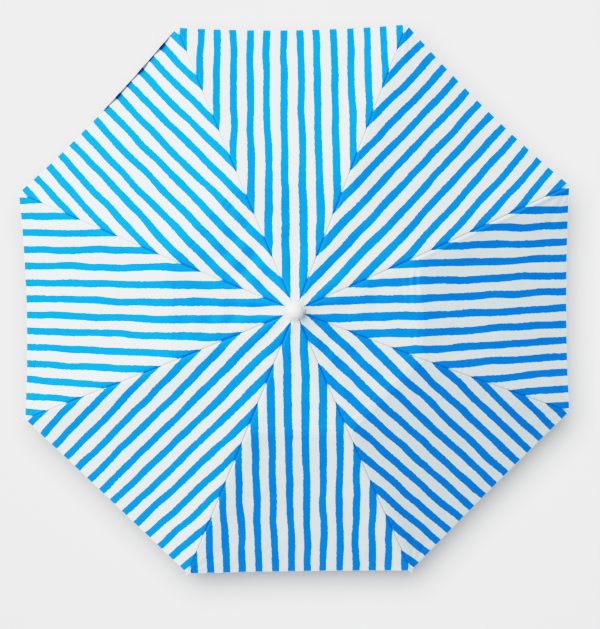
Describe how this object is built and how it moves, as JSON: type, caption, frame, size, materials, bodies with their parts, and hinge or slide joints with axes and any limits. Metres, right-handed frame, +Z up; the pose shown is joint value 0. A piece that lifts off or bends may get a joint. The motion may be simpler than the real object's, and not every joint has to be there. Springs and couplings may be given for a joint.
{
  "type": "beach umbrella",
  "caption": "Open beach umbrella with a flat octagonal domed canopy in hand-painted stripes, a folding rib frame, a sliding runner, a tilt joint and a spiked telescopic pole.",
  "frame": {"origin": "the middle of the ground spike's flat tip, where the ground holds the pole", "axes": "+Z up the pole, +X along the middle of one gore, towards the side the canopy tilts to and the height knob"},
  "size_m": [1.6666, 1.6666, 1.956],
  "materials": {
    "canopy_cloth": "plain-woven cotton, white with blue brushed stripes",
    "white_steel": "white powder coat",
    "bright_steel": "zinc plated",
    "white_plastic": "moulded, fine grain",
    "glossy_white": "glossy moulded"
  },
  "bodies": {
    "lower_pole": {"lower_pole": "white_steel", "ground_spike": "white_plastic", "pole_collar": "white_plastic"},
    "height_knob": {"height_knob": "white_plastic"},
    "upper_pole": {"upper_pole": "white_steel", "upper_pole_foot": "white_plastic", "tilt_fork": "white_plastic", "tilt_pin": "bright_steel", "tilt_button_spring": "bright_steel"},
    "tilt_button": {"tilt_button": "white_plastic"},
    "top_pole": {"top_pole": "white_steel", "tilt_tongue": "white_plastic", "top_notch": "white_plastic", "notch_ring_wire": "bright_steel", "crown_washer": "glossy_white", "finial": "glossy_white"},
    "runner_catch": {"runner_catch": "bright_steel"},
    "runner": {"runner": "white_plastic"},
    "rib_1": {"rib_1": "white_steel", "rib_tip_1": "glossy_white", "rib_joint_1": "bright_steel", "canopy_sector_1": "canopy_cloth"},
    "stretcher_1": {"stretcher_1": "white_steel"},
    "rib_2": {"rib_2": "white_steel", "rib_tip_2": "glossy_white", "rib_joint_2": "bright_steel", "canopy_sector_2": "canopy_cloth"},
    "stretcher_2": {"stretcher_2": "white_steel"},
    "rib_3": {"rib_3": "white_steel", "rib_tip_3": "glossy_white", "rib_joint_3": "bright_steel", "canopy_sector_3": "canopy_cloth"},
    "stretcher_3": {"stretcher_3": "white_steel"},
    "rib_4": {"rib_4": "white_steel", "rib_tip_4": "glossy_white", "rib_joint_4": "bright_steel", "canopy_sector_4": "canopy_cloth"},
    "stretcher_4": {"stretcher_4": "white_steel"},
    "rib_5": {"rib_5": "white_steel", "rib_tip_5": "glossy_white", "rib_joint_5": "bright_steel", "canopy_sector_5": "canopy_cloth"},
    "stretcher_5": {"stretcher_5": "white_steel"},
    "rib_6": {"rib_6": "white_steel", "rib_tip_6": "glossy_white", "rib_joint_6": "bright_steel", "canopy_sector_6": "canopy_cloth"},
    "stretcher_6": {"stretcher_6": "white_steel"},
    "rib_7": {"rib_7": "white_steel", "rib_tip_7": "glossy_white", "rib_joint_7": "bright_steel", "canopy_sector_7": "canopy_cloth"},
    "stretcher_7": {"stretcher_7": "white_steel"},
    "rib_8": {"rib_8": "white_steel", "rib_tip_8": "glossy_white", "rib_joint_8": "bright_steel", "canopy_sector_8": "canopy_cloth"},
    "stretcher_8": {"stretcher_8": "white_steel"}
  },
  "joints": [
    {"name": "height_knob_turn", "type": "hinge", "parent": "lower_pole", "child": "height_knob", "pos_m": [0, 0, 0.782], "axis": [1, 0, 0], "range_deg": [0, 540]},
    {"name": "pole_height", "type": "slide", "parent": "lower_pole", "child": "upper_pole", "axis": [0, 0, 1], "range_m": [-0.1, 0.2]},
    {"name": "canopy_tilt", "type": "hinge", "parent": "upper_pole", "child": "top_pole", "pos_m": [0, 0, 1.37], "axis": [0, 1, 0], "range_deg": [0, 35]},
    {"name": "tilt_button_press", "type": "slide", "parent": "upper_pole", "child": "tilt_button", "axis": [1, 0, 0], "range_m": [0, 0.003], "stiffness_N_per_m": 800, "springref_m": -0.002, "deforming": ["tilt_button_spring"]},
    {"name": "runner_slide", "type": "slide", "parent": "top_pole", "child": "runner", "axis": [0, 0, 1], "range_m": [-0.45078, 0]},
    {"name": "runner_catch_press", "type": "slide", "parent": "top_pole", "child": "runner_catch", "axis": [-1, 0, 0], "range_m": [0, 0.0036], "stiffness_N_per_m": 800, "springref_m": -0.002, "deforming": ["runner_catch"]},
    {"name": "rib_hinge_1", "type": "hinge", "parent": "top_pole", "child": "rib_1", "pos_m": [0.01848, 0.00765, 1.9], "axis": [-0.3827, 0.9239, 0], "range_deg": [0, 69.95], "deforming": ["canopy_sector_1"]},
    {"name": "stretcher_hinge_1", "type": "hinge", "parent": "rib_1", "child": "stretcher_1", "pos_m": [0.33877, 0.14032, 1.83715], "axis": [-0.3827, 0.9239, 0], "range_deg": [-114.48, 0]},
    {"name": "rib_hinge_2", "type": "hinge", "parent": "top_pole", "child": "rib_2", "pos_m": [0.00765, 0.01848, 1.9], "axis": [-0.9239, 0.3827, 0], "range_deg": [0, 69.95], "deforming": ["canopy_sector_2"]},
    {"name": "stretcher_hinge_2", "type": "hinge", "parent": "rib_2", "child": "stretcher_2", "pos_m": [0.14032, 0.33877, 1.83715], "axis": [-0.9239, 0.3827, 0], "range_deg": [-114.48, 0]},
    {"name": "rib_hinge_3", "type": "hinge", "parent": "top_pole", "child": "rib_3", "pos_m": [-0.00765, 0.01848, 1.9], "axis": [-0.9239, -0.3827, 0], "range_deg": [0, 69.95], "deforming": ["canopy_sector_3"]},
    {"name": "stretcher_hinge_3", "type": "hinge", "parent": "rib_3", "child": "stretcher_3", "pos_m": [-0.14032, 0.33877, 1.83715], "axis": [-0.9239, -0.3827, 0], "range_deg": [-114.48, 0]},
    {"name": "rib_hinge_4", "type": "hinge", "parent": "top_pole", "child": "rib_4", "pos_m": [-0.01848, 0.00765, 1.9], "axis": [-0.3827, -0.9239, 0], "range_deg": [0, 69.95], "deforming": ["canopy_sector_4"]},
    {"name": "stretcher_hinge_4", "type": "hinge", "parent": "rib_4", "child": "stretcher_4", "pos_m": [-0.33877, 0.14032, 1.83715], "axis": [-0.3827, -0.9239, 0], "range_deg": [-114.48, 0]},
    {"name": "rib_hinge_5", "type": "hinge", "parent": "top_pole", "child": "rib_5", "pos_m": [-0.01848, -0.00765, 1.9], "axis": [0.3827, -0.9239, 0], "range_deg": [0, 69.95], "deforming": ["canopy_sector_5"]},
    {"name": "stretcher_hinge_5", "type": "hinge", "parent": "rib_5", "child": "stretcher_5", "pos_m": [-0.33877, -0.14032, 1.83715], "axis": [0.3827, -0.9239, 0], "range_deg": [-114.48, 0]},
    {"name": "rib_hinge_6", "type": "hinge", "parent": "top_pole", "child": "rib_6", "pos_m": [-0.00765, -0.01848, 1.9], "axis": [0.9239, -0.3827, 0], "range_deg": [0, 69.95], "deforming": ["canopy_sector_6"]},
    {"name": "stretcher_hinge_6", "type": "hinge", "parent": "rib_6", "child": "stretcher_6", "pos_m": [-0.14032, -0.33877, 1.83715], "axis": [0.9239, -0.3827, 0], "range_deg": [-114.48, 0]},
    {"name": "rib_hinge_7", "type": "hinge", "parent": "top_pole", "child": "rib_7", "pos_m": [0.00765, -0.01848, 1.9], "axis": [0.9239, 0.3827, 0], "range_deg": [0, 69.95], "deforming": ["canopy_sector_7"]},
    {"name": "stretcher_hinge_7", "type": "hinge", "parent": "rib_7", "child": "stretcher_7", "pos_m": [0.14032, -0.33877, 1.83715], "axis": [0.9239, 0.3827, 0], "range_deg": [-114.48, 0]},
    {"name": "rib_hinge_8", "type": "hinge", "parent": "top_pole", "child": "rib_8", "pos_m": [0.01848, -0.00765, 1.9], "axis": [0.3827, 0.9239, 0], "range_deg": [0, 69.95], "deforming": ["canopy_sector_8"]},
    {"name": "stretcher_hinge_8", "type": "hinge", "parent": "rib_8", "child": "stretcher_8", "pos_m": [0.33877, -0.14032, 1.83715], "axis": [0.3827, 0.9239, 0], "range_deg": [-114.48, 0]}
  ],
  "couplings": [
    {"joint": "rib_hinge_1", "follows": "runner_slide", "rad_per_m": -2.7082},
    {"joint": "stretcher_hinge_1", "follows": "runner_slide", "rad_per_m": 4.4321},
    {"joint": "rib_hinge_2", "follows": "runner_slide", "rad_per_m": -2.7082},
    {"joint": "stretcher_hinge_2", "follows": "runner_slide", "rad_per_m": 4.4321},
    {"joint": "rib_hinge_3", "follows": "runner_slide", "rad_per_m": -2.7082},
    {"joint": "stretcher_hinge_3", "follows": "runner_slide", "rad_per_m": 4.4321},
    {"joint": "rib_hinge_4", "follows": "runner_slide", "rad_per_m": -2.7082},
    {"joint": "stretcher_hinge_4", "follows": "runner_slide", "rad_per_m": 4.4321},
    {"joint": "rib_hinge_5", "follows": "runner_slide", "rad_per_m": -2.7082},
    {"joint": "stretcher_hinge_5", "follows": "runner_slide", "rad_per_m": 4.4321},
    {"joint": "rib_hinge_6", "follows": "runner_slide", "rad_per_m": -2.7082},
    {"joint": "stretcher_hinge_6", "follows": "runner_slide", "rad_per_m": 4.4321},
    {"joint": "rib_hinge_7", "follows": "runner_slide", "rad_per_m": -2.7082},
    {"joint": "stretcher_hinge_7", "follows": "runner_slide", "rad_per_m": 4.4321},
    {"joint": "rib_hinge_8", "follows": "runner_slide", "rad_per_m": -2.7082},
    {"joint": "stretcher_hinge_8", "follows": "runner_slide", "rad_per_m": 4.4321}
  ]
}
